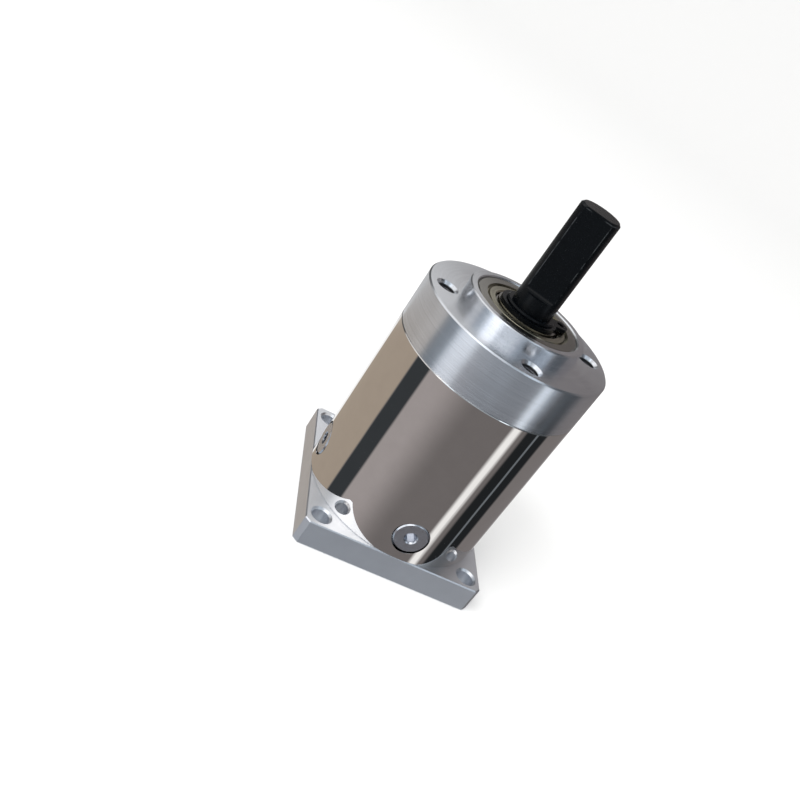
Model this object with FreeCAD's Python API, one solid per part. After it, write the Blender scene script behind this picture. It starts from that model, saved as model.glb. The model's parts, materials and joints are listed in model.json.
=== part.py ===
"""Two-stage planetary gearbox: square motor flange, tube that is also the ring gear, D-cut shaft.

Millimetres. The origin is the centre of the flange's motor face; +Z runs up along the output shaft.
From the motor side up: flange and spigot, first stage, second stage, output cap with its two bearings.
"""
import FreeCAD, Part
import os
from math import acos, asin, cos, pi, radians, sin, sqrt, tan

os.makedirs("parts", exist_ok=True)

Vector = FreeCAD.Vector
UP = Vector(0, 0, 1)
ORIGIN = Vector(0, 0, 0)

# ---- driving dimensions: housing ----
FLANGE_SIDE = 56.4           # square motor flange
FLANGE_THICK = 8.4
FLANGE_CORNER = 1.5          # leg of the chamfer on each upright corner
MOTOR_HOLE_SPACING = 47.14   # square pattern of the motor's screws
MOTOR_HOLE_R = 2.75
MOTOR_HOLE_CHAMFER = 0.6
PILOT_R = 19.05              # recess that centres the motor
PILOT_DEPTH = 2.2
FLANGE_BORE_R = 15.0
SPIGOT_TOP = 20.4
TUBE_R = 28.5
TUBE_TOP = 61.4
SPIGOT_BORE_R = 26.2         # counterbore in each end of the tube
SPIGOT_FIT = 0.02            # the spigots are this much smaller in radius
CAP_TOP = 75.8
CAP_SPIGOT_BOTTOM = 55.4
BOSS_R = 18.2
BOSS_TOP = 80.0
CAP_HOLE_CIRCLE_R = 23.0
CAP_HOLE_DEPTH = 11.0
CAP_THREAD_MINOR_R = 2.5
CAP_THREAD_MAJOR_R = 2.95
CAP_THREAD_PITCH = 1.0
CAP_THREAD_TURNS = 9
CAP_HOLE_CHAMFER = 0.75
TUBE_SCREW_Z = 16.6
TUBE_SCREW_HEAD_R = 5.05
TUBE_SCREW_HOLE_R = 5.4
TUBE_SCREW_SEAT = 25.3       # distance of the head's seat from the axis
TUBE_SCREW_FACE = 28.3       # distance of the head's outer face from the axis
TUBE_SCREW_SHANK_R = 2.5
TUBE_SCREW_TIP = 17.0
TUBE_SCREW_HEX = 3.2         # across flats
TUBE_SCREW_SOCKET = 2.2      # depth of the hexagon socket
TUBE_SCREW_MOUTH = 0.5       # depth of the cone at the socket's mouth
FINE_EDGE = 0.3              # broken edge on turned pieces

# ---- driving dimensions: gears ----
MODULE = 1.0
PRESSURE = radians(20)
SUN_TEETH = 17
PLANET_TEETH = 16
RING_TEETH = 49
PLANETS = 3
FLANK_THINNING = 0.045       # taken off each flank, at the pitch circle
ROOT_FILLET = 0.28
RING_ADDENDUM = 0.72         # in modules, short so that the ring's tips clear the planets' roots
CENTRE_DISTANCE = MODULE * (SUN_TEETH + PLANET_TEETH) / 2
FIRST_PLANET_AZIMUTH = 90.0
RING_TEETH_BOTTOM = 21.6
RING_TEETH_TOP = 55.2

# ---- driving dimensions: stages, as (bottom, top) along Z ----
PINION_COLLAR = (18.6, 21.1)
PINION_TEETH = (21.1, 29.6)
PINION_COLLAR_R = 8.1
PINION_BORE_R = 4.0
PINION_BORE_CHAMFER = 0.75
STAGE_1_PLANETS = (21.8, 29.6)
STAGE_1_WASHERS = (29.8, 30.2)
STAGE_1_CARRIER = (30.4, 35.4)
STAGE_1_PINS = (21.7, 35.4)
SUN_2_STUB = (30.4, 35.4)
SUN_2_COLLAR = (35.4, 36.1)
SUN_2_TEETH = (36.1, 46.4)
STAGE_2_PLANETS = (36.4, 46.6)
STAGE_2_WASHERS = (46.8, 47.1)
STAGE_2_CARRIER = (47.3, 53.6)
STAGE_2_PINS = (36.6, 53.6)
CARRIER_R = 22.6
PIN_R = 2.5
BUSH_R = 4.0
WASHER_R = 4.9
RUNNING_GAP = 0.05
THRUST_PLATE = (20.4, 21.5)
THRUST_PLATE_R = (12.0, 25.1)   # stays inside the tube screws' heads
STAGE_RING = (35.4, 36.0)
STAGE_RING_R = (8.6, 21.4)
SUN_STUB_R = 5.0
SUN_COLLAR_R = 7.2

# ---- driving dimensions: output shaft and its bearings ----
SHAFT_R = 6.0
SHAFT_TIP = 112.5
SHAFT_TIP_CHAMFER = 0.6
FLAT_START = 87.6
FLAT_DISTANCE = 4.2          # from the axis to the flat
FLAT_AZIMUTH = -114.0
FLAT_RUN_OUT_R = 1.6         # hollow round that the cutter leaves at the flat's lower end
FLAT_EDGE = 0.06             # depth taken off each long edge of the flat
SHAFT_STEP_TOP = 81.5        # the bearing seat ends here and the plain shaft begins
HUB_R = 10.4
REAR_BEARING = {"bore": 8.5, "outer": 17.5, "z": (55.8, 65.8), "lands": (11.1, 15.0),
                "pitch": 13.0, "balls": 10}
FRONT_BEARING = {"bore": 7.5, "outer": 16.0, "z": (70.7, 79.7), "lands": (9.6, 12.6),
                 "pitch": 11.75, "balls": 9}
BALL_R = 2.38
RACE_R = 2.47
BEARING_EDGE = 0.6
SHIELD_REACH = 0.35          # how far the shield's step goes into a ring's land
SHIELD_SHEET = 0.3
SHIELD_FIT = 0.02
SHIELD_FACE = 0.25           # the shield's flat lies this far inside the ring's face
SHIELD_BEAD = 0.75           # and its outer bead this far
SHIELD_BEAD_WIDTH = 0.6
SHIELD_ROUND = 0.35
SHIELD_LIP = 0.5
CAGE_FIT = 0.02
CAGE_HALF_WIDTH = 0.5
CAGE_HALF_HEIGHT = 2.9
CAP_WAIST_R = 14.4
CIRCLIP_Z = (79.75, 80.75)
CIRCLIP_GROOVE = (79.72, 80.85)
CIRCLIP_R = (7.15, 8.6)
CIRCLIP_TAPER = 0.3          # its outside is struck this far off centre, so that it tapers to its lugs
CIRCLIP_LUG_R = 12.5
CIRCLIP_HOLE_R = 1.05
CIRCLIP_HOLE_OUT = 0.5       # the hole's centre lies this far outside the lug's
CIRCLIP_GAP_AZIMUTH = 32.0
CIRCLIP_LUG_ANGLE = 25.0
CIRCLIP_GAP_ANGLE = 14.0


# ---- small helpers ----
def cylinder(radius, bottom, top, centre=(0, 0)):
    return Part.makeCylinder(radius, top - bottom, Vector(centre[0], centre[1], bottom), UP)


def ring(inner, outer, bottom, top, centre=(0, 0)):
    return cylinder(outer, bottom, top, centre).cut(cylinder(inner, bottom - 1, top + 1, centre))


def radial_cylinder(radius, start, end, azimuth, height):
    """A cylinder along the horizontal direction of that azimuth, from start to end away from the axis."""
    direction = Vector(cos(radians(azimuth)), sin(radians(azimuth)), 0)
    return Part.makeCylinder(radius, end - start, direction * start + Vector(0, 0, height), direction)


def turned(outline):
    """A solid of revolution about Z from a closed outline of (radius, height) points."""
    points = [Vector(radius, 0, height) for radius, height in outline]
    face = Part.Face(Part.makePolygon(points + [points[0]]))
    return face.revolve(ORIGIN, UP, 360)


def moved(shape, x, y, z=0.0):
    copy = shape.copy()
    copy.translate(Vector(x, y, z))
    return copy


def turned_by(shape, angle):
    copy = shape.copy()
    copy.rotate(ORIGIN, UP, angle)
    return copy


def polar(radius, azimuth):
    return radius * cos(radians(azimuth)), radius * sin(radians(azimuth))


def on_circle(count, first_azimuth):
    return [first_azimuth + 360.0 * index / count for index in range(count)]


def save(name, shape):
    """Write one node, as a solid or as a group of separate solids."""
    solids = shape.Solids
    result = solids[0] if len(solids) == 1 else Part.makeCompound(solids)
    result.exportStep("parts/" + name + ".step")
    print(name, len(solids), "solids", round(sum(solid.Volume for solid in solids), 1), "mm3",
          "ok" if result.isValid() else "INVALID")


# ---- involute gears ----
def involute_angle(pressure):
    return tan(pressure) - pressure


def half_angle(teeth, radius, offset):
    """Half the angle of a tooth at a radius; offset widens each flank, or thins it when negative."""
    pitch_radius = MODULE * teeth / 2
    base_radius = pitch_radius * cos(PRESSURE)
    at_base = pi / (2 * teeth) + offset / pitch_radius + involute_angle(PRESSURE)
    if radius <= base_radius:
        return at_base
    return at_base - involute_angle(acos(base_radius / radius))


def gear_point(radius, angle):
    return Vector(radius * cos(angle), radius * sin(angle), 0)


def arc(radius, start, end):
    return Part.Arc(gear_point(radius, start), gear_point(radius, (start + end) / 2),
                    gear_point(radius, end)).toShape()


def flank(teeth, low, high, offset, middle, side):
    """One involute flank from the low radius to the high one, on the given side of the tooth's middle."""
    steps = 6
    radii = [low + (high - low) * step / steps for step in range(steps + 1)]
    curve = Part.BSplineCurve()
    curve.interpolate([gear_point(radius, middle + side * half_angle(teeth, radius, offset))
                       for radius in radii])
    return curve.toShape()


def gear_face_wire(teeth):
    """The outline of an external gear with one tooth centred on +X."""
    pitch_radius = MODULE * teeth / 2
    base_radius = pitch_radius * cos(PRESSURE)
    tip = pitch_radius + MODULE
    root = pitch_radius - 1.25 * MODULE
    offset = -FLANK_THINNING
    at_base = half_angle(teeth, base_radius, offset)
    at_tip = half_angle(teeth, tip, offset)
    fillet_angle = asin(ROOT_FILLET / (root + ROOT_FILLET))
    fillet_top = sqrt((root + ROOT_FILLET) ** 2 - ROOT_FILLET ** 2)
    pitch_angle = 2 * pi / teeth
    edges = []
    for index in range(teeth):
        middle = index * pitch_angle
        for side in (-1, 1):
            centre = gear_point(root + ROOT_FILLET, middle + side * (at_base + fillet_angle))
            towards_root = gear_point(1, middle + side * (at_base + fillet_angle))
            on_flank = gear_point(fillet_top, middle + side * at_base)
            on_root = gear_point(root, middle + side * (at_base + fillet_angle))
            half_way = ((on_flank - centre) - towards_root * ROOT_FILLET).normalize() * ROOT_FILLET
            edges.append(Part.Arc(on_root, centre + half_way, on_flank).toShape())
            on_base = gear_point(base_radius, middle + side * at_base)
            edges.append(Part.LineSegment(on_flank, on_base).toShape())
            edges.append(flank(teeth, base_radius, tip, offset, middle, side))
        edges.append(arc(tip, middle - at_tip, middle + at_tip))
        edges.append(arc(root, middle + at_base + fillet_angle,
                         middle + pitch_angle - at_base - fillet_angle))
    return Part.Wire(Part.__sortEdges__(edges))


def ring_face_wire():
    """The outline of the ring gear's hole, with one tooth space centred on +X."""
    pitch_radius = MODULE * RING_TEETH / 2
    tip = pitch_radius - RING_ADDENDUM * MODULE
    root = pitch_radius + 1.25 * MODULE
    offset = FLANK_THINNING
    at_tip = half_angle(RING_TEETH, tip, offset)
    at_root = half_angle(RING_TEETH, root, offset)
    pitch_angle = 2 * pi / RING_TEETH
    edges = []
    for index in range(RING_TEETH):
        middle = index * pitch_angle
        for side in (-1, 1):
            edges.append(flank(RING_TEETH, tip, root, offset, middle, side))
        edges.append(arc(root, middle - at_root, middle + at_root))
        edges.append(arc(tip, middle + at_tip, middle + pitch_angle - at_tip))
    return Part.Wire(Part.__sortEdges__(edges))


def extruded(face, bottom, top):
    solid = face.extrude(Vector(0, 0, top - bottom))
    return moved(solid, 0, 0, bottom)


def planet_phase(azimuth):
    """Degrees that a planet turns on its pin so that it meshes with the ring from its place at azimuth."""
    step = 360.0 / PLANET_TEETH
    return (azimuth - azimuth * RING_TEETH / PLANET_TEETH) % step


def sun_phase():
    """Degrees that a sun turns so that it meshes with the planets."""
    azimuth = FIRST_PLANET_AZIMUTH
    planet_pitches = (azimuth + 180.0 - planet_phase(azimuth)) * PLANET_TEETH / 360.0
    return azimuth - (0.5 - planet_pitches) * 360.0 / SUN_TEETH


SUN_FACE = Part.Face(gear_face_wire(SUN_TEETH))
PLANET_WIRE = gear_face_wire(PLANET_TEETH)


# ---- housing ----
def chamfered_hole(radius, chamfer, bottom, top, centre):
    """The space of a through hole with a chamfer at both ends."""
    hole = cylinder(radius, bottom - 1, top + 1, centre)
    for end, direction in ((top, -1), (bottom, 1)):
        cone = Part.makeCone(radius + chamfer, radius, chamfer,
                             Vector(centre[0], centre[1], end), Vector(0, 0, direction))
        hole = hole.fuse(cone)
    return hole


def flange_plate():
    half = FLANGE_SIDE / 2
    plate = Part.makeBox(FLANGE_SIDE, FLANGE_SIDE, FLANGE_THICK, Vector(-half, -half, 0))
    upright = [edge for edge in plate.Edges if abs(edge.tangentAt(edge.FirstParameter).z) > 0.9]
    plate = plate.makeChamfer(FLANGE_CORNER, upright)
    rim = [edge for edge in plate.Edges if abs(edge.tangentAt(edge.FirstParameter).z) < 0.1]
    return plate.makeChamfer(FINE_EDGE, rim)


def input_flange():
    spigot_r = SPIGOT_BORE_R - SPIGOT_FIT
    body = flange_plate().fuse(turned([(0, FLANGE_THICK / 2), (spigot_r, FLANGE_THICK / 2),
                                       (spigot_r, SPIGOT_TOP - FINE_EDGE),
                                       (spigot_r - FINE_EDGE, SPIGOT_TOP), (0, SPIGOT_TOP)]))
    body = body.cut(turned([(0, -1), (PILOT_R + FINE_EDGE + 1, -1), (PILOT_R, FINE_EDGE),
                            (PILOT_R, PILOT_DEPTH), (FLANGE_BORE_R, PILOT_DEPTH),
                            (FLANGE_BORE_R, SPIGOT_TOP + 1), (0, SPIGOT_TOP + 1)]))
    half = MOTOR_HOLE_SPACING / 2
    for x in (-half, half):
        for y in (-half, half):
            body = body.cut(chamfered_hole(MOTOR_HOLE_R, MOTOR_HOLE_CHAMFER, 0, FLANGE_THICK, (x, y)))
    for azimuth in on_circle(4, 0):
        body = body.cut(radial_cylinder(TUBE_SCREW_HOLE_R, TUBE_SCREW_SEAT, TUBE_R, azimuth, TUBE_SCREW_Z))
        body = body.cut(radial_cylinder(TUBE_SCREW_SHANK_R + SPIGOT_FIT, FLANGE_BORE_R - 1, TUBE_R,
                                        azimuth, TUBE_SCREW_Z))
    return body


def tube_screw():
    """A low-head hexagon-socket screw along +X at the height of the tube's screws."""
    edge = 0.35
    face = TUBE_SCREW_FACE
    rim = TUBE_SCREW_HEAD_R
    shank = TUBE_SCREW_SHANK_R
    screw = turned([
        (0, TUBE_SCREW_TIP), (shank - edge, TUBE_SCREW_TIP), (shank, TUBE_SCREW_TIP + edge),
        (shank, TUBE_SCREW_SEAT), (rim, TUBE_SCREW_SEAT), (rim, face - edge), (rim - edge, face),
        (0, face)])
    corner = TUBE_SCREW_HEX / 2 / cos(pi / 6)
    points = [gear_point(corner, index * pi / 3) for index in range(7)]
    socket = extruded(Part.Face(Part.makePolygon(points)), face - TUBE_SCREW_SOCKET, face + 1)
    mouth = Part.makeCone(corner - edge, corner + edge / 2, TUBE_SCREW_MOUTH,
                          Vector(0, 0, face - TUBE_SCREW_MOUTH), UP)
    screw = screw.cut(socket).cut(mouth)
    screw.rotate(ORIGIN, Vector(0, 1, 0), 90)
    return moved(screw, 0, 0, TUBE_SCREW_Z)


def tube_screws():
    screw = tube_screw()
    return Part.makeCompound([turned_by(screw, azimuth) for azimuth in on_circle(4, 0)])


def ring_gear_tube():
    edge = 0.2
    outer = turned([(0, FLANGE_THICK), (TUBE_R - edge, FLANGE_THICK), (TUBE_R, FLANGE_THICK + edge),
                    (TUBE_R, TUBE_TOP - edge), (TUBE_R - edge, TUBE_TOP), (0, TUBE_TOP)])
    teeth = extruded(Part.Face(ring_face_wire()), FLANGE_THICK - 1, TUBE_TOP + 1)
    body = outer.cut(teeth)
    body = body.cut(cylinder(SPIGOT_BORE_R, FLANGE_THICK - 1, RING_TEETH_BOTTOM))
    body = body.cut(cylinder(SPIGOT_BORE_R, RING_TEETH_TOP, TUBE_TOP + 1))
    for azimuth in on_circle(4, 0):
        body = body.cut(radial_cylinder(TUBE_SCREW_HOLE_R, SPIGOT_BORE_R - 2, TUBE_R + 1,
                                        azimuth, TUBE_SCREW_Z))
    return body


def threaded_hole_space(azimuth):
    """The space of one cap hole: a chamfered mouth, thread grooves and a drill point."""
    minor = CAP_THREAD_MINOR_R
    major = CAP_THREAD_MAJOR_R
    mouth = major + CAP_HOLE_CHAMFER / 2
    flat = CAP_THREAD_PITCH / 8
    outline = [(0, CAP_TOP + 1), (mouth, CAP_TOP + 1), (mouth, CAP_TOP), (minor, CAP_TOP - (mouth - minor))]
    height = CAP_TOP - (mouth - minor) - flat
    half_groove = (CAP_THREAD_PITCH - 2 * flat) / 2
    for _ in range(CAP_THREAD_TURNS):
        outline += [(minor, height), (major, height - half_groove), (major, height - half_groove - flat),
                    (minor, height - 2 * half_groove - flat)]
        height -= CAP_THREAD_PITCH
    outline += [(minor, CAP_TOP - CAP_HOLE_DEPTH), (0, CAP_TOP - CAP_HOLE_DEPTH - minor * tan(pi / 6))]
    return moved(turned(outline), *polar(CAP_HOLE_CIRCLE_R, azimuth))


def output_cap():
    spigot_r = SPIGOT_BORE_R - SPIGOT_FIT
    front = FRONT_BEARING
    rear = REAR_BEARING
    edge = FINE_EDGE
    top_edge = 0.4
    body = turned([
        (rear["outer"], CAP_SPIGOT_BOTTOM), (spigot_r - edge, CAP_SPIGOT_BOTTOM),
        (spigot_r, CAP_SPIGOT_BOTTOM + edge), (spigot_r, TUBE_TOP), (TUBE_R - edge, TUBE_TOP),
        (TUBE_R, TUBE_TOP + edge), (TUBE_R, CAP_TOP - top_edge), (TUBE_R - top_edge, CAP_TOP),
        (BOSS_R, CAP_TOP), (BOSS_R, BOSS_TOP - edge), (BOSS_R - edge, BOSS_TOP),
        (front["outer"] + edge, BOSS_TOP), (front["outer"], BOSS_TOP - edge),
        (front["outer"], front["z"][0]), (CAP_WAIST_R, front["z"][0]), (CAP_WAIST_R, rear["z"][1]),
        (rear["outer"], rear["z"][1])])
    for azimuth in on_circle(4, 0):
        body = body.cut(threaded_hole_space(azimuth))
    return body


# ---- gears and carriers ----
def input_pinion():
    """The first sun: teeth, a plain collar on the motor side, and a bore for the motor's shaft."""
    teeth = turned_by(extruded(SUN_FACE, *PINION_TEETH), sun_phase())
    low, high = PINION_COLLAR
    collar = turned([(0, low), (PINION_COLLAR_R - FINE_EDGE, low), (PINION_COLLAR_R, low + FINE_EDGE),
                     (PINION_COLLAR_R, high), (0, high)])
    bore_r = PINION_BORE_R
    mouth_r = bore_r + PINION_BORE_CHAMFER
    top = PINION_TEETH[1]
    bore = turned([(0, low - 1), (mouth_r, low - 1), (mouth_r, low), (bore_r, low + PINION_BORE_CHAMFER),
                   (bore_r, top - PINION_BORE_CHAMFER), (mouth_r, top), (mouth_r, top + 1), (0, top + 1)])
    return teeth.fuse(collar).cut(bore)


def planet_gear(span, azimuth):
    centre = polar(CENTRE_DISTANCE, azimuth)
    gear = turned_by(extruded(Part.Face(PLANET_WIRE), *span), planet_phase(azimuth))
    gear = gear.cut(cylinder(BUSH_R, span[0] - 1, span[1] + 1))
    return moved(gear, *centre)


def planet_bush(span, azimuth):
    inner = PIN_R + RUNNING_GAP
    return ring(inner, BUSH_R, span[0], span[1], polar(CENTRE_DISTANCE, azimuth))


def at_planets(make):
    """A group of one solid for each planet; make gets the planet's centre."""
    azimuths = on_circle(PLANETS, FIRST_PLANET_AZIMUTH)
    return Part.makeCompound([make(polar(CENTRE_DISTANCE, azimuth)) for azimuth in azimuths])


def planet_pins(span):
    return at_planets(lambda centre: cylinder(PIN_R, span[0], span[1], centre))


def planet_washers(span):
    return at_planets(lambda centre: ring(PIN_R, WASHER_R, span[0], span[1], centre))


def drilled_for_pins(shape, span):
    for azimuth in on_circle(PLANETS, FIRST_PLANET_AZIMUTH):
        shape = shape.cut(cylinder(PIN_R, span[0] - 1, span[1] + 1, polar(CENTRE_DISTANCE, azimuth)))
    return shape


def carrier_disc(span):
    low, high = span
    edge = 0.5
    return turned([(0, low), (CARRIER_R - edge, low), (CARRIER_R, low + edge), (CARRIER_R, high - edge),
                   (CARRIER_R - edge, high), (0, high)])


def first_carrier():
    body = carrier_disc(STAGE_1_CARRIER).cut(cylinder(SUN_STUB_R, 0, SHAFT_TIP))
    return drilled_for_pins(body, STAGE_1_CARRIER)


def second_sun():
    """The second sun: teeth, a collar that rests on the first carrier, and a stub pressed into it."""
    teeth = turned_by(extruded(SUN_FACE, *SUN_2_TEETH), sun_phase())
    collar = cylinder(SUN_COLLAR_R, *SUN_2_COLLAR)
    stub = cylinder(SUN_STUB_R, *SUN_2_STUB)
    return teeth.fuse(collar).fuse(stub)


# ---- output shaft and bearings ----
def slab_space(distance, bottom):
    """All the space farther than distance along +X and above bottom."""
    width = 4 * SHAFT_R
    return Part.makeBox(SHAFT_R, width, SHAFT_TIP, Vector(distance, -width / 2, bottom))


def flat_space():
    """What the cutter takes for the D flat: its hollow run-out, the flat, and its two broken edges."""
    width = 4 * SHAFT_R
    run_out = FLAT_DISTANCE + FLAT_RUN_OUT_R
    hollow = Part.makeCylinder(FLAT_RUN_OUT_R, width, Vector(run_out, -width / 2, FLAT_START),
                               Vector(0, 1, 0))
    space = slab_space(FLAT_DISTANCE, FLAT_START).fuse(hollow)
    space = space.fuse(slab_space(run_out, FLAT_START - FLAT_RUN_OUT_R))
    half_way = acos(FLAT_DISTANCE / SHAFT_R) / 2
    for side in (-1, 1):
        edge = slab_space(SHAFT_R * cos(half_way) - FLAT_EDGE, FLAT_START)
        space = space.fuse(turned_by(edge, side * half_way * 180 / pi))
    return space


def output_shaft():
    """The second carrier disc and the output shaft, turned from one bar.

    The round wall is one face up to the flat, one beside its run-out and one beside the flat itself.
    """
    front = FRONT_BEARING
    rear = REAR_BEARING
    step_edge = 0.4
    low, high = STAGE_2_CARRIER
    groove_r = CIRCLIP_R[0]
    groove_low, groove_high = CIRCLIP_GROOVE
    spindle = turned([
        (0, high - 1), (HUB_R, high - 1), (HUB_R, rear["z"][0]), (rear["bore"], rear["z"][0]),
        (rear["bore"], front["z"][0]), (front["bore"], front["z"][0]), (front["bore"], groove_low),
        (groove_r, groove_low), (groove_r, groove_high), (front["bore"], groove_high),
        (front["bore"], SHAFT_STEP_TOP - step_edge), (front["bore"] - step_edge, SHAFT_STEP_TOP),
        (SHAFT_R, SHAFT_STEP_TOP), (SHAFT_R, FLAT_START - FLAT_RUN_OUT_R), (SHAFT_R, FLAT_START),
        (SHAFT_R, SHAFT_TIP - SHAFT_TIP_CHAMFER), (SHAFT_R - SHAFT_TIP_CHAMFER, SHAFT_TIP), (0, SHAFT_TIP)])
    spindle = turned_by(spindle.cut(flat_space()), FLAT_AZIMUTH)
    return drilled_for_pins(carrier_disc((low, high)), (low, high)).fuse(spindle)


def race_space(bearing, outer):
    """The ring-shaped space that the balls' race takes out of a bearing ring."""
    middle = sum(bearing["z"]) / 2
    shift = RACE_R - BALL_R - 0.05
    major = bearing["pitch"] - shift if outer else bearing["pitch"] + shift
    return Part.makeTorus(major, RACE_R, Vector(0, 0, middle), UP)


def shield_seat(bearing, outer):
    """The shallow steps that the shields sit in, near both faces of a bearing ring."""
    low, high = bearing["z"]
    inner_land, outer_land = bearing["lands"]
    reach = SHIELD_REACH
    recess = SHIELD_BEAD + SHIELD_SHEET
    radii = (outer_land - 1, outer_land + reach) if outer else (inner_land - reach, inner_land + 1)
    return ring(radii[0], radii[1], high - recess, high + 1).fuse(
        ring(radii[0], radii[1], low - 1, low + recess))


def bearing_ring(bearing, outer):
    low, high = bearing["z"]
    inner_land, outer_land = bearing["lands"]
    edge = BEARING_EDGE
    if outer:
        rim = bearing["outer"]
        outline = [(outer_land, low), (rim - edge, low), (rim, low + edge), (rim, high - edge),
                   (rim - edge, high), (outer_land, high)]
    else:
        rim = bearing["bore"]
        outline = [(inner_land, low), (inner_land, high), (rim + edge, high), (rim, high - edge),
                   (rim, low + edge), (rim + edge, low)]
    return turned(outline).cut(race_space(bearing, outer)).cut(shield_seat(bearing, outer))


def bearing_balls(bearing):
    middle = sum(bearing["z"]) / 2
    centres = [polar(bearing["pitch"], azimuth) for azimuth in on_circle(bearing["balls"], 0)]
    return Part.makeCompound([Part.makeSphere(BALL_R, Vector(x, y, middle)) for x, y in centres])


def bearing_cage(bearing):
    middle = sum(bearing["z"]) / 2
    pocket_r = BALL_R + CAGE_FIT
    cage = ring(bearing["pitch"] - CAGE_HALF_WIDTH, bearing["pitch"] + CAGE_HALF_WIDTH,
                middle - CAGE_HALF_HEIGHT, middle + CAGE_HALF_HEIGHT)
    for azimuth in on_circle(bearing["balls"], 0):
        pocket = radial_cylinder(pocket_r, bearing["pitch"] - 1, bearing["pitch"] + 1, azimuth, middle)
        cage = cage.cut(pocket)
    return cage


def bearing_shields(bearing):
    """The two pressed steel shields, each with a rolled outer bead and an inner lip."""
    low, high = bearing["z"]
    inner_land, outer_land = bearing["lands"]
    outer = outer_land + SHIELD_REACH - SHIELD_FIT
    inner = inner_land + SHIELD_ROUND
    face = -SHIELD_FACE
    bead = -SHIELD_BEAD
    bead_edge = outer - SHIELD_BEAD_WIDTH
    face_edge = bead_edge - SHIELD_ROUND
    sheet = SHIELD_SHEET
    outline = [(outer, bead), (outer, bead - sheet), (bead_edge - sheet / 2, bead - sheet),
               (face_edge - sheet / 2, face - sheet), (inner + SHIELD_LIP, face - sheet),
               (inner, face - sheet - SHIELD_LIP), (inner, face - SHIELD_ROUND),
               (inner + SHIELD_ROUND, face), (face_edge, face), (bead_edge, bead)]
    top = turned([(radius, high + height) for radius, height in outline])
    bottom = turned([(radius, low - height) for radius, height in outline])
    return Part.makeCompound([top, bottom])


def shaft_circlip():
    """The retaining ring in the shaft's groove, open between its two drilled lugs."""
    low, high = CIRCLIP_Z
    inner, outer = CIRCLIP_R
    body = cylinder(outer, low, high, (-CIRCLIP_TAPER, 0))
    middle_r = (inner + CIRCLIP_LUG_R) / 2
    for side in (-1, 1):
        azimuth = side * CIRCLIP_LUG_ANGLE
        x, y = polar(middle_r, azimuth)
        lug = cylinder(CIRCLIP_LUG_R - middle_r, low, high, (x, y))
        root = Part.makeBox(middle_r, 2 * (CIRCLIP_LUG_R - middle_r), high - low,
                            Vector(0, middle_r - CIRCLIP_LUG_R, low))
        body = body.fuse(lug).fuse(turned_by(root, azimuth))
    body = body.cut(cylinder(inner, low - 1, high + 1))
    for side in (-1, 1):
        centre = polar(middle_r + CIRCLIP_HOLE_OUT, side * CIRCLIP_LUG_ANGLE)
        body = body.cut(cylinder(CIRCLIP_HOLE_R, low - 1, high + 1, centre))
    reach = 2 * CIRCLIP_LUG_R
    half = radians(CIRCLIP_GAP_ANGLE)
    wedge = Part.Face(Part.makePolygon([Vector(0, 0, 0), gear_point(reach, -half), gear_point(reach, half),
                                        Vector(0, 0, 0)]))
    body = body.cut(extruded(wedge, low - 1, high + 1))
    return turned_by(body, CIRCLIP_GAP_AZIMUTH)


def save_bearing(name, bearing):
    save(name + "_outer_ring", bearing_ring(bearing, True))
    save(name + "_inner_ring", bearing_ring(bearing, False))
    save(name + "_balls", bearing_balls(bearing))
    save(name + "_cage", bearing_cage(bearing))
    save(name + "_shields", bearing_shields(bearing))


def save_planets(stage, span):
    for letter, azimuth in zip("abc", on_circle(PLANETS, FIRST_PLANET_AZIMUTH)):
        save(stage + "_planet_gear_" + letter, planet_gear(span, azimuth))
        save(stage + "_planet_bush_" + letter, planet_bush(span, azimuth))


save("input_flange", input_flange())
save("tube_screws", tube_screws())
save("ring_gear_tube", ring_gear_tube())
save("output_cap", output_cap())
save("input_pinion", input_pinion())
save("input_thrust_plate", ring(*THRUST_PLATE_R, *THRUST_PLATE))
save_planets("first", STAGE_1_PLANETS)
save("first_carrier", first_carrier())
save("first_planet_pins", planet_pins(STAGE_1_PINS))
save("first_planet_washers", planet_washers(STAGE_1_WASHERS))
save("second_sun", second_sun())
save("stage_thrust_ring", ring(*STAGE_RING_R, *STAGE_RING))
save_planets("second", STAGE_2_PLANETS)
save("second_planet_pins", planet_pins(STAGE_2_PINS))
save("second_planet_washers", planet_washers(STAGE_2_WASHERS))
save("output_shaft", output_shaft())
save("shaft_circlip", shaft_circlip())
save_bearing("rear_bearing", REAR_BEARING)
save_bearing("front_bearing", FRONT_BEARING)
print("planet phase", planet_phase(FIRST_PLANET_AZIMUTH), "sun phase", sun_phase() % (360 / SUN_TEETH))
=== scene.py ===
"""The looks of a two-stage planetary gearbox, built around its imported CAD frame."""
import json
import math

import bpy
from mathutils import Matrix, Vector


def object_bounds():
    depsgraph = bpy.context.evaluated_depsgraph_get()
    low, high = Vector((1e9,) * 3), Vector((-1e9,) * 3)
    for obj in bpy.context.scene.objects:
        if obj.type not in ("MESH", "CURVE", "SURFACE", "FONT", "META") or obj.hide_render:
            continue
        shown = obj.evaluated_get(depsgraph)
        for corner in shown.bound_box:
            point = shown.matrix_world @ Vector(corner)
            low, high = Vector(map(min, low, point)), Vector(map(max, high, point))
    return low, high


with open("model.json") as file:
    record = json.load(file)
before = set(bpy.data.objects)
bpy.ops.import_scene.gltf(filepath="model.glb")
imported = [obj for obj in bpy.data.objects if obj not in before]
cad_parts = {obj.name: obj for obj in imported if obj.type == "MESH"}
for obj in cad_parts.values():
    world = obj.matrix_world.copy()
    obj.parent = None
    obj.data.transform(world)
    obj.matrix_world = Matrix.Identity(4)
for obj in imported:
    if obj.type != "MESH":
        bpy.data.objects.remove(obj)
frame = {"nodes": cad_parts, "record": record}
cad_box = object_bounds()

MM = 0.001

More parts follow.
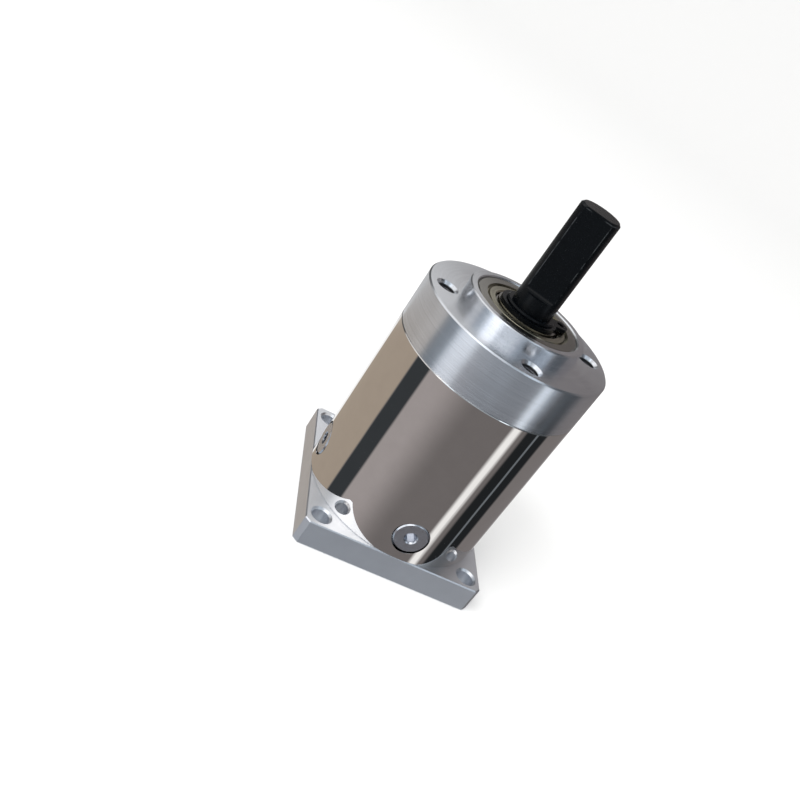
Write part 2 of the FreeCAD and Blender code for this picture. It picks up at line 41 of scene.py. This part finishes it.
# ---- camera: metres and degrees, round the gear axis ----
CAMERA_AZIMUTH = -112.40     # where the camera stands
CAMERA_DISTANCE = 0.23235    # from the gear axis
CAMERA_HEIGHT = 0.15593
LOOK_AZIMUTH = 71.31         # the way the camera looks
LOOK_DOWN = 27.33
CAMERA_ROLL = 34.67
LENS = 40.37                 # focal length and sensor width in mm
SENSOR_WIDTH = 36
NEAREST_SEEN = 0.01
FARTHEST_SEEN = 20

# ---- floor ----
FLOOR_SIDES = 96
FLOOR_RINGS = (0.0, 0.3, 0.8, 1.5)   # radii of the flat part
FLOOR_RISE_R = 2.5                   # radius where the curved edge ends
FLOOR_RISE = 0.9
FLOOR_RISE_STEPS = 12
FLOOR_ROUGHNESS = 0.9
FLOOR_SPECULAR = 0.1
PALE = (0.90, 0.90, 0.895)

# ---- lights ----
KEY_PLACE = (-0.5, -0.35, 0.75)
KEY_TARGET = (0, 0, 0.05)
KEY_SIZE = 0.5
KEY_WATTS = 5.0
SOFT_LIGHT = 1.06

# The studio that metal mirrors: a plain room with even cards, dark flags and lamps round the gearbox.
# Each says: compass from and to, elevation from and to, softness of its sides, tint, brightness.
# A later one stands in front of those before it. The compass runs from SEAM to SEAM + 360 degrees.
SEAM = 30
NEUTRAL = (1.0, 1.0, 1.0)
WARM = (1.0, 0.85, 0.7)
COOL = (0.8, 0.9, 1.0)
ROSY = (1.0, 0.92, 0.92)
LOW = (-90, -22)
MIDDLE = (-14, 28)
HIGH = (-22, 90)
UPPER = (28, 60)
BEHIND = (20, 60)
ROOM_BRIGHTNESS = 0.2
CARDS = (
    ((55, 110), LOW, 30, NEUTRAL, 1.0),
    ((225, 330), LOW, 4, ROSY, 0.17),
    ((160, 240), LOW, 50, ROSY, 0.38),
    ((98, 174), LOW, 2, WARM, 0.4),
    ((174, 197), LOW, 4, COOL, 0.05),
    ((312, 322), LOW, 6, NEUTRAL, 1.0),
    ((330, 362), LOW, 5, COOL, 0.02),
    ((345, 348), LOW, 1, COOL, 0.2),
    ((72, 180), HIGH, 10, NEUTRAL, 0.6),
    ((180, 330), HIGH, 10, COOL, 0.45),
    ((200, 225), HIGH, 10, COOL, 1.3),
    ((310, 322), HIGH, 4, COOL, 1.4),
    ((335, 365), HIGH, 8, COOL, 0.1),
    ((85, 160), MIDDLE, 8, NEUTRAL, 0.1),
    ((275, 320), MIDDLE, 6, COOL, 0.15),
    ((205, 225), MIDDLE, 6, NEUTRAL, 1.5),
    ((190, 265), UPPER, 15, NEUTRAL, 1.8),
    ((72, 100), BEHIND, 8, NEUTRAL, 0.8),
)
CARD_END_SOFTNESS = 2.0
CEILING_TOWARDS = (-0.145, 0.397, 0.906)
CEILING_EDGE = (0.79, 0.89)          # cosines from the ceiling light's middle: unlit, fully lit
CEILING_BRIGHTNESS = 1.1
FLOOR_MIRRORED = 0.57
FLOOR_TOP = -38                      # elevation below which metal mirrors the floor
FLOOR_SOFTNESS = 9

# ---- places on the gearbox that its materials follow, in metres ----
MOUNTS = {mount["name"]: mount for mount in frame["record"]["mounts"]}
CAP_FACE = MOUNTS["cap_face"]["pos_m"][2]
CAP_HOLE_CIRCLE_R = MOUNTS["cap_screws"]["dims"]["pcd_mm"] / 2 * MM
THREAD_DEPTH = 0.6 * MM
CAP_HOLE_R = MOUNTS["cap_screws"]["dims"]["hole_r_mm"] * MM + THREAD_DEPTH
CAP_HOLE_BLUR = 0.3 * MM
CAP_CHAMFER_DEPTH = 0.6 * MM
SHAFT_R = MOUNTS["output_shaft"]["dims"]["r_mm"] * MM
SHAFT_TIP = cad_box[1][2]
TIP_CHAMFER = 0.6 * MM
TIP_HIGHLIGHT_START = 4.5 * MM            # the painted highlight on the tip's rim shows from this radius outwards, fully at the next
TIP_HIGHLIGHT_FULL = 5.0 * MM
# how far the painted edge highlight reaches on either side of a sharp edge of the shaft
EDGE_HIGHLIGHT_REACH = 0.16 * MM
FLAT_START_BLUR = 0.2 * MM

# ---- sizes of the grain: noise scales, in features to the metre ----
TURNED_TONE_SCALE = 90.0
CHROME_WAVES_SCALE = 55.0
CHROME_HAZE_SCALE = 240.0
STEEL_GRAIN_SCALE = 900.0
FINE_TO_BROAD = 8                    # how much bigger the broad changes of tone are than the grain
# size of the breaks in the painted edge highlight
HIGHLIGHT_DASH_SCALE = 420.0

# ---- how the noises are used ----
TURNED_LINES_SHARE = 0.6             # the rest of a turned surface's tone comes from the broad noise
TURNED_TONE_RANGE = (0.35, 0.65)     # noise values at the darker and the paler shade
TURNED_ROUGHNESS_SWING = 0.12
CHROME_ROUGHNESS_SWING = 0.03
STEEL_ROUGHNESS_SWING = 0.16
HIGHLIGHT_DASH_RANGE = (0.36, 0.58)            # noise values where the painted edge highlight is off and fully on
HIGHLIGHT_CORE = 0.6                      # share of the painted edge highlight's width that is at full strength
ROUND_THE_AXIS = 0.25                # turns the stretched highlights across the lathe's lines
UPRIGHT = 0.01                       # the most that an upright face's normal may rise


# ---- camera ----
def add_camera():
    azimuth = math.radians(CAMERA_AZIMUTH)
    place = Vector((CAMERA_DISTANCE * math.cos(azimuth), CAMERA_DISTANCE * math.sin(azimuth),
                    CAMERA_HEIGHT))
    look = math.radians(LOOK_AZIMUTH)
    down = math.radians(LOOK_DOWN)
    roll = math.radians(CAMERA_ROLL)
    ahead = Vector((math.cos(down) * math.cos(look), math.cos(down) * math.sin(look),
                    -math.sin(down)))
    level_right = ahead.cross(Vector((0, 0, 1))).normalized()
    level_up = level_right.cross(ahead)
    up = level_up * math.cos(roll) - level_right * math.sin(roll)
    right = ahead.cross(up)
    camera = bpy.data.objects.new("camera", bpy.data.cameras.new("camera"))
    camera.data.lens = LENS
    camera.data.sensor_width = SENSOR_WIDTH
    camera.data.clip_start = NEAREST_SEEN
    camera.data.clip_end = FARTHEST_SEEN
    turn = Matrix((right, up, -ahead)).transposed().to_4x4()
    camera.matrix_world = Matrix.Translation(place) @ turn
    bpy.context.scene.collection.objects.link(camera)
    bpy.context.scene.camera = camera


# ---- node helpers ----
def is_socket(value):
    return isinstance(value, bpy.types.NodeSocket)


class Nodes:
    """Short calls for making the nodes of one material or world."""

    def __init__(self, tree):
        self.tree = tree
        tree.nodes.clear()

    def add(self, kind, **values):
        node = self.tree.nodes.new(kind)
        for name, value in values.items():
            setattr(node, name, value)
        return node

    def put(self, socket, value):
        if is_socket(value):
            self.tree.links.new(value, socket)
        else:
            socket.default_value = value

    def math(self, operation, first, second=0.0, third=0.0):
        node = self.add("ShaderNodeMath", operation=operation)
        for socket, value in zip(node.inputs, (first, second, third)):
            self.put(socket, value)
        return node.outputs[0]

    def between(self, value, low, high, to_low=0.0, to_high=1.0):
        """value moved smoothly from the range low..high to the range to_low..to_high."""
        node = self.add("ShaderNodeMapRange", interpolation_type="SMOOTHSTEP")
        for name, number in (("Value", value), ("From Min", low), ("From Max", high),
                             ("To Min", to_low), ("To Max", to_high)):
            self.put(node.inputs[name], number)
        return node.outputs["Result"]

    def mix(self, factor, first, second):
        """A colour that goes from first to second as factor goes from nought to one."""
        node = self.add("ShaderNodeMix", data_type="RGBA")
        self.put(node.inputs["Factor"], factor)
        for socket, value in ((node.inputs[6], first), (node.inputs[7], second)):
            self.put(socket, value if is_socket(value) else (*value, 1))
        return node.outputs[2]

    def length(self, x, y):
        """The length of the flat vector x, y."""
        return self.math("SQRT", self.math("ADD", self.math("MULTIPLY", x, x), self.math("MULTIPLY", y, y)))

    def split(self, vector):
        node = self.add("ShaderNodeSeparateXYZ")
        self.put(node.inputs[0], vector)
        return node.outputs

    def join(self, x, y, z):
        node = self.add("ShaderNodeCombineXYZ")
        for socket, value in zip(node.inputs, (x, y, z)):
            self.put(socket, value)
        return node.outputs[0]

    def noise(self, vector, scale, detail=3.0, roughness=0.5):
        node = self.add("ShaderNodeTexNoise")
        self.put(node.inputs["Vector"], vector)
        self.put(node.inputs["Scale"], scale)
        self.put(node.inputs["Detail"], detail)
        self.put(node.inputs["Roughness"], roughness)
        return node.outputs["Fac"]

    def bump(self, height, distance):
        node = self.add("ShaderNodeBump")
        self.put(node.inputs["Height"], height)
        node.inputs["Distance"].default_value = distance
        node.inputs["Strength"].default_value = 1.0
        return node.outputs["Normal"]


# ---- studio ----
def tinted(tint, brightness):
    return tuple(channel * brightness for channel in tint)


def add_card(make, room, compass, elevation, card):
    """The room with one more card, flag or lamp standing in it."""
    (first, last), (lowest, highest), softness, tint, brightness = card
    half = softness / 2
    inside = make.math("MULTIPLY", make.between(compass, first - half, first + half),
                       make.between(compass, last - half, last + half, 1.0, 0.0))
    for end, below, above in ((lowest, 0.0, 1.0), (highest, 1.0, 0.0)):
        risen = make.between(elevation, end - CARD_END_SOFTNESS, end + CARD_END_SOFTNESS, below, above)
        inside = make.math("MULTIPLY", inside, risen)
    return make.mix(inside, room, tinted(tint, brightness))


def mirrored_studio(make):
    """The colour that glossy rays find in each direction: cards, floor and ceiling light."""
    direction = make.add("ShaderNodeTexCoord").outputs["Generated"]
    x, y, z = make.split(direction)
    elevation = make.math("MULTIPLY", make.math("ARCSINE", z), 180 / math.pi)
    turns = make.math("MULTIPLY_ADD", make.math("ARCTAN2", y, x), 0.5 / math.pi, 1 - SEAM / 360)
    compass = make.math("MULTIPLY_ADD", make.math("FRACT", turns), 360.0, float(SEAM))
    room = tinted(ROSY, ROOM_BRIGHTNESS)
    for card in CARDS:
        room = add_card(make, room, compass, elevation, card)
    under = make.between(elevation, FLOOR_TOP - FLOOR_SOFTNESS, FLOOR_TOP, 1.0, 0.0)
    room = make.mix(under, room, tinted(COOL, FLOOR_MIRRORED))
    dot = make.add("ShaderNodeVectorMath", operation="DOT_PRODUCT")
    make.put(dot.inputs[0], direction)
    dot.inputs[1].default_value = CEILING_TOWARDS
    overhead = make.between(dot.outputs["Value"], *CEILING_EDGE)
    return make.mix(overhead, room, tinted(NEUTRAL, CEILING_BRIGHTNESS))


def add_world():
    """Soft even light from everywhere, and a plain studio of cards and lamps for metal to mirror."""
    world = bpy.data.worlds.new("studio")
    bpy.context.scene.world = world
    world.use_nodes = True
    world.cycles.sampling_method = "NONE"
    make = Nodes(world.node_tree)
    seen_by_gloss = mirrored_studio(make)
    light_path = make.add("ShaderNodeLightPath")
    colour = make.mix(light_path.outputs["Is Glossy Ray"], tinted(NEUTRAL, SOFT_LIGHT), seen_by_gloss)
    background = make.add("ShaderNodeBackground")
    make.put(background.inputs["Color"], colour)
    out = make.add("ShaderNodeOutputWorld")
    make.put(out.inputs["Surface"], background.outputs[0])


def floor_mesh():
    """A flat disc whose edge curves up far away."""
    flat_r = FLOOR_RINGS[-1]
    rings = list(FLOOR_RINGS)
    heights = [0.0] * len(rings)
    for step in range(1, FLOOR_RISE_STEPS + 1):
        angle = math.pi / 2 * step / FLOOR_RISE_STEPS
        rings.append(flat_r + (FLOOR_RISE_R - flat_r) * math.sin(angle))
        heights.append(FLOOR_RISE * (1 - math.cos(angle)))
    vertices = [(0, 0, 0)]
    faces = []
    for radius, height in list(zip(rings, heights))[1:]:
        for side in range(FLOOR_SIDES):
            angle = 2 * math.pi * side / FLOOR_SIDES
            vertices.append((radius * math.cos(angle), radius * math.sin(angle), height))
    for side in range(FLOOR_SIDES):
        after = (side + 1) % FLOOR_SIDES
        faces.append((0, 1 + side, 1 + after))
        for ring_index in range(len(rings) - 2):
            inner = 1 + ring_index * FLOOR_SIDES
            outer = inner + FLOOR_SIDES
            faces.append((inner + side, outer + side, outer + after, inner + after))
    mesh = bpy.data.meshes.new("floor")
    mesh.from_pydata(vertices, [], faces)
    mesh.shade_smooth()
    return mesh


def pale_floor():
    material = bpy.data.materials.new("pale_floor")
    material.use_nodes = True
    shader = material.node_tree.nodes["Principled BSDF"]
    shader.inputs["Base Color"].default_value = (*PALE, 1)
    shader.inputs["Roughness"].default_value = FLOOR_ROUGHNESS
    shader.inputs["Specular IOR Level"].default_value = FLOOR_SPECULAR
    return material


def add_floor():
    """The pale floor, which metal doesn't mirror: it mirrors the studio's own floor instead."""
    mesh = floor_mesh()
    floor = bpy.data.objects.new("floor", mesh)
    bpy.context.scene.collection.objects.link(floor)
    floor.visible_glossy = False
    mesh.materials.append(pale_floor())


def add_key_light():
    """A big soft lamp that throws the shadow and isn't mirrored."""
    lamp = bpy.data.lights.new("key", "AREA")
    lamp.size = KEY_SIZE
    lamp.energy = KEY_WATTS
    light = bpy.data.objects.new("key", lamp)
    light.location = KEY_PLACE
    towards = Vector(KEY_TARGET) - Vector(KEY_PLACE)
    light.rotation_euler = towards.to_track_quat("-Z", "Y").to_euler()
    light.visible_glossy = False
    bpy.context.scene.collection.objects.link(light)


# ---- materials ----
def new_material(name):
    material = bpy.data.materials.new(name)
    material.use_nodes = True
    return material, Nodes(material.node_tree)


def finish_material(make, colour, roughness, normal, metallic=1.0, anisotropic=0.0, tangent=None,
                    specular=0.5):
    shader = make.add("ShaderNodeBsdfPrincipled")
    make.put(shader.inputs["Base Color"], colour)
    make.put(shader.inputs["Roughness"], roughness)
    make.put(shader.inputs["Normal"], normal)
    shader.inputs["Metallic"].default_value = metallic
    shader.inputs["Specular IOR Level"].default_value = specular
    shader.inputs["Anisotropic"].default_value = anisotropic
    if tangent is not None:
        shader.inputs["Anisotropic Rotation"].default_value = ROUND_THE_AXIS
        make.put(shader.inputs["Tangent"], tangent)
    out = make.add("ShaderNodeOutputMaterial")
    make.put(out.inputs["Surface"], shader.outputs[0])


def object_place(make):
    return make.add("ShaderNodeTexCoord").outputs["Object"]


def darker_and_paler(colour, tone):
    """Two shades of a colour, a share called tone below and above it."""
    darker = tuple(channel * (1 - tone) for channel in colour)
    paler = tuple(min(1.0, channel * (1 + tone)) for channel in colour)
    return darker, paler


def uneven(make, noise, middle, swing):
    """A roughness that lies half the swing below the middle at noise nought, and half above it at one."""
    return make.math("MULTIPLY_ADD", noise, swing, middle - swing / 2)


def cap_hole_shade(make):
    """One inside the four threaded holes of the cap, below their chamfers, where shade is painted; else
    nought.
    """
    x, y, z = make.split(object_place(make))
    x = make.math("ABSOLUTE", x)
    y = make.math("ABSOLUTE", y)
    along = make.math("SUBTRACT", make.math("MAXIMUM", x, y), CAP_HOLE_CIRCLE_R)
    aside = make.math("MINIMUM", x, y)
    in_hole = make.between(make.length(along, aside), CAP_HOLE_R, CAP_HOLE_R + CAP_HOLE_BLUR, 1.0, 0.0)
    chamfer_foot = CAP_FACE - CAP_CHAMFER_DEPTH
    below_chamfer = make.between(z, chamfer_foot - CAP_CHAMFER_DEPTH, chamfer_foot, 1.0, 0.0)
    return make.math("MULTIPLY", in_hole, below_chamfer)


def turned_metal(name, colour, roughness, line_pitch, line_depth, anisotropic=0.7, tone=0.12,
                 hole_shade_colour=None):
    """Metal cut on a lathe: fine rings on its faces and walls, and a soft change of tone; given a hole
    colour, painted shade inside the cap's threaded holes.
    """
    material, make = new_material(name)
    x, y, height = make.split(object_place(make))
    across_turning = make.join(make.length(x, y), height, 0.0)
    lines = make.noise(across_turning, 1 / line_pitch, detail=2.0, roughness=0.6)
    broad = make.noise(object_place(make), TURNED_TONE_SCALE)
    shade = make.math("ADD", make.math("MULTIPLY", lines, TURNED_LINES_SHARE),
                      make.math("MULTIPLY", broad, 1 - TURNED_LINES_SHARE))
    mixed = make.mix(make.between(shade, *TURNED_TONE_RANGE), *darker_and_paler(colour, tone))
    # painted shade inside the cap's threaded holes
    if hole_shade_colour is not None:
        mixed = make.mix(cap_hole_shade(make), mixed, hole_shade_colour)
    rough = uneven(make, broad, roughness, TURNED_ROUGHNESS_SWING)
    tangent = make.add("ShaderNodeTangent", direction_type="RADIAL", axis="Z").outputs[0]
    finish_material(make, mixed, rough, make.bump(lines, line_depth), anisotropic=anisotropic,
                    tangent=tangent)
    return material


def chrome(name, darker, paler, roughness, wave_depth):
    """Bright plating: nearly a mirror, with faint waves and haze left by polishing."""
    material, make = new_material(name)
    place = object_place(make)
    waves = make.noise(place, CHROME_WAVES_SCALE, detail=1.0)
    haze = make.noise(place, CHROME_HAZE_SCALE, detail=4.0)
    rough = uneven(make, haze, roughness, CHROME_ROUGHNESS_SWING)
    finish_material(make, make.mix(haze, darker, paler), rough, make.bump(waves, wave_depth))
    return material


def plain_metal(name, colour, roughness, grain=STEEL_GRAIN_SCALE, depth=0.003 * MM, tone=0.15,
                metallic=1.0):
    """Steel, bronze and the like, with a fine grain and small changes of tone."""
    material, make = new_material(name)
    place = object_place(make)
    fine = make.noise(place, grain, detail=4.0, roughness=0.6)
    broad = make.noise(place, grain / FINE_TO_BROAD, detail=2.0)
    mixed = make.mix(broad, *darker_and_paler(colour, tone))
    rough = uneven(make, fine, roughness, STEEL_ROUGHNESS_SWING)
    finish_material(make, mixed, rough, make.bump(fine, depth), metallic=metallic)
    return material


def near(make, value, middle, half):
    """One where the value lies close to the middle, and nought from half away from it."""
    away = make.math("ABSOLUTE", make.math("SUBTRACT", value, middle))
    return make.between(away, half * HIGHLIGHT_CORE, half, 1.0, 0.0)


def shaft_flat():
    """The output shaft's flat, from the CAD mesh: its azimuth, its distance from the axis and its foot."""
    mesh = frame["nodes"]["output_shaft"].data
    upright = [face for face in mesh.polygons if abs(face.normal.z) < UPRIGHT]
    flat = max(upright, key=lambda face: face.area)
    corners = [mesh.vertices[index].co for index in flat.vertices]
    azimuth = math.atan2(flat.normal.y, flat.normal.x)
    return azimuth, corners[0].dot(flat.normal), min(corner.z for corner in corners)


def painted_edge_highlights(make, place):
    """Where a highlight is painted: one along the sharp edges of the shaft's flat and of its tip, else
    nought.
    """
    x, y, z = make.split(place)
    azimuth, flat_distance, flat_start = shaft_flat()
    flat_half_width = math.sqrt(SHAFT_R ** 2 - flat_distance ** 2)
    outward = make.math("ADD", make.math("MULTIPLY", x, math.cos(azimuth)),
                        make.math("MULTIPLY", y, math.sin(azimuth)))
    sideways = make.math("ABSOLUTE", make.math("SUBTRACT", make.math("MULTIPLY", y, math.cos(azimuth)),
                                               make.math("MULTIPLY", x, math.sin(azimuth))))
    flat_edge = make.math("MULTIPLY", near(make, outward, flat_distance, EDGE_HIGHLIGHT_REACH),
                          near(make, sideways, flat_half_width, EDGE_HIGHLIGHT_REACH))
    above_foot = make.between(z, flat_start - FLAT_START_BLUR, flat_start)
    flat_edge = make.math("MULTIPLY", flat_edge, above_foot)
    tip_edge = make.math("MULTIPLY", near(make, z, SHAFT_TIP - TIP_CHAMFER, EDGE_HIGHLIGHT_REACH),
                         make.between(make.length(x, y), TIP_HIGHLIGHT_START, TIP_HIGHLIGHT_FULL))
    return make.math("MAXIMUM", flat_edge, tip_edge)


def black_oxide(name, darker, paler, edge_highlight_colour, roughness, depth, specular):
    """Blackened steel, with a highlight painted in broken dashes along the sharp edges of the flat and of the
    tip.
    """
    material, make = new_material(name)
    place = object_place(make)
    fine = make.noise(place, STEEL_GRAIN_SCALE, detail=4.0, roughness=0.6)
    patches = make.between(make.noise(place, HIGHLIGHT_DASH_SCALE), *HIGHLIGHT_DASH_RANGE)
    # a painted highlight along the sharp edges, broken into dashes by the noise
    edge_highlight = make.math("MULTIPLY", painted_edge_highlights(make, place), patches)
    colour = make.mix(edge_highlight, make.mix(fine, darker, paler), edge_highlight_colour)
    rough = uneven(make, fine, roughness, STEEL_ROUGHNESS_SWING)
    finish_material(make, colour, rough, make.bump(fine, depth), metallic=0.0, specular=specular)
    return material


def make_materials():
    """One material for each slot of the record, and one for the milled flange."""
    return {
        "milled_aluminium": plain_metal("milled_aluminium", (0.82, 0.84, 0.88), roughness=0.37,
                                        grain=1600.0, depth=0.004 * MM, tone=0.05),
        # its hole colour is painted shade inside the cap's threaded holes
        "machined_aluminium": turned_metal("turned_aluminium", (0.80, 0.82, 0.86), roughness=0.24,
                                           line_pitch=0.12 * MM, line_depth=0.002 * MM, tone=0.08,
                                           hole_shade_colour=(0.20, 0.20, 0.21)),
        "chromed_steel": chrome("bright_chrome", (0.78, 0.76, 0.74), (0.86, 0.84, 0.82),
                                roughness=0.03, wave_depth=0.04 * MM),
        "screw_steel": plain_metal("screw_steel", (0.62, 0.64, 0.69), roughness=0.22, tone=0.08),
        # its edge colour is a painted highlight along the shaft's sharp edges
        "black_oxide_steel": black_oxide("black_oxide", (0.0008, 0.0012, 0.0018),
                                         (0.0022, 0.0030, 0.0040), edge_highlight_colour=(0.03, 0.033, 0.036),
                                         roughness=0.26, depth=0.002 * MM, specular=0.14),
        "black_gear_steel": plain_metal("black_gear_steel", (0.03, 0.032, 0.036), roughness=0.45,
                                        metallic=0.3),
        "carrier_steel": plain_metal("carrier_steel", (0.36, 0.36, 0.37), roughness=0.35),
        "ground_steel": plain_metal("ground_steel", (0.62, 0.62, 0.63), roughness=0.12),
        "bearing_steel": turned_metal("bearing_steel", (0.36, 0.35, 0.32), roughness=0.20,
                                      line_pitch=0.18 * MM, line_depth=0.001 * MM),
        "pressed_steel": turned_metal("pressed_steel", (0.42, 0.40, 0.31), roughness=0.24,
                                      line_pitch=0.4 * MM, line_depth=0.001 * MM),
        "washer_steel": plain_metal("washer_steel", (0.48, 0.48, 0.49), roughness=0.3),
        "gear_steel": plain_metal("gear_steel", (0.34, 0.34, 0.36), roughness=0.3),
        "bronze": plain_metal("bronze", (0.55, 0.33, 0.14), roughness=0.3),
    }


def dress_cad_nodes(materials):
    """Gives every CAD node the material of its slot; the flange, which is milled and not turned, its own."""
    for name, node in frame["nodes"].items():
        for holder in node.material_slots:
            slot = holder.material.name.split(".")[0]
            holder.material = materials["milled_aluminium" if name == "input_flange" else slot]


add_camera()
add_world()
add_floor()
add_key_light()
dress_cad_nodes(make_materials())
bpy.context.scene.view_settings.view_transform = "Standard"
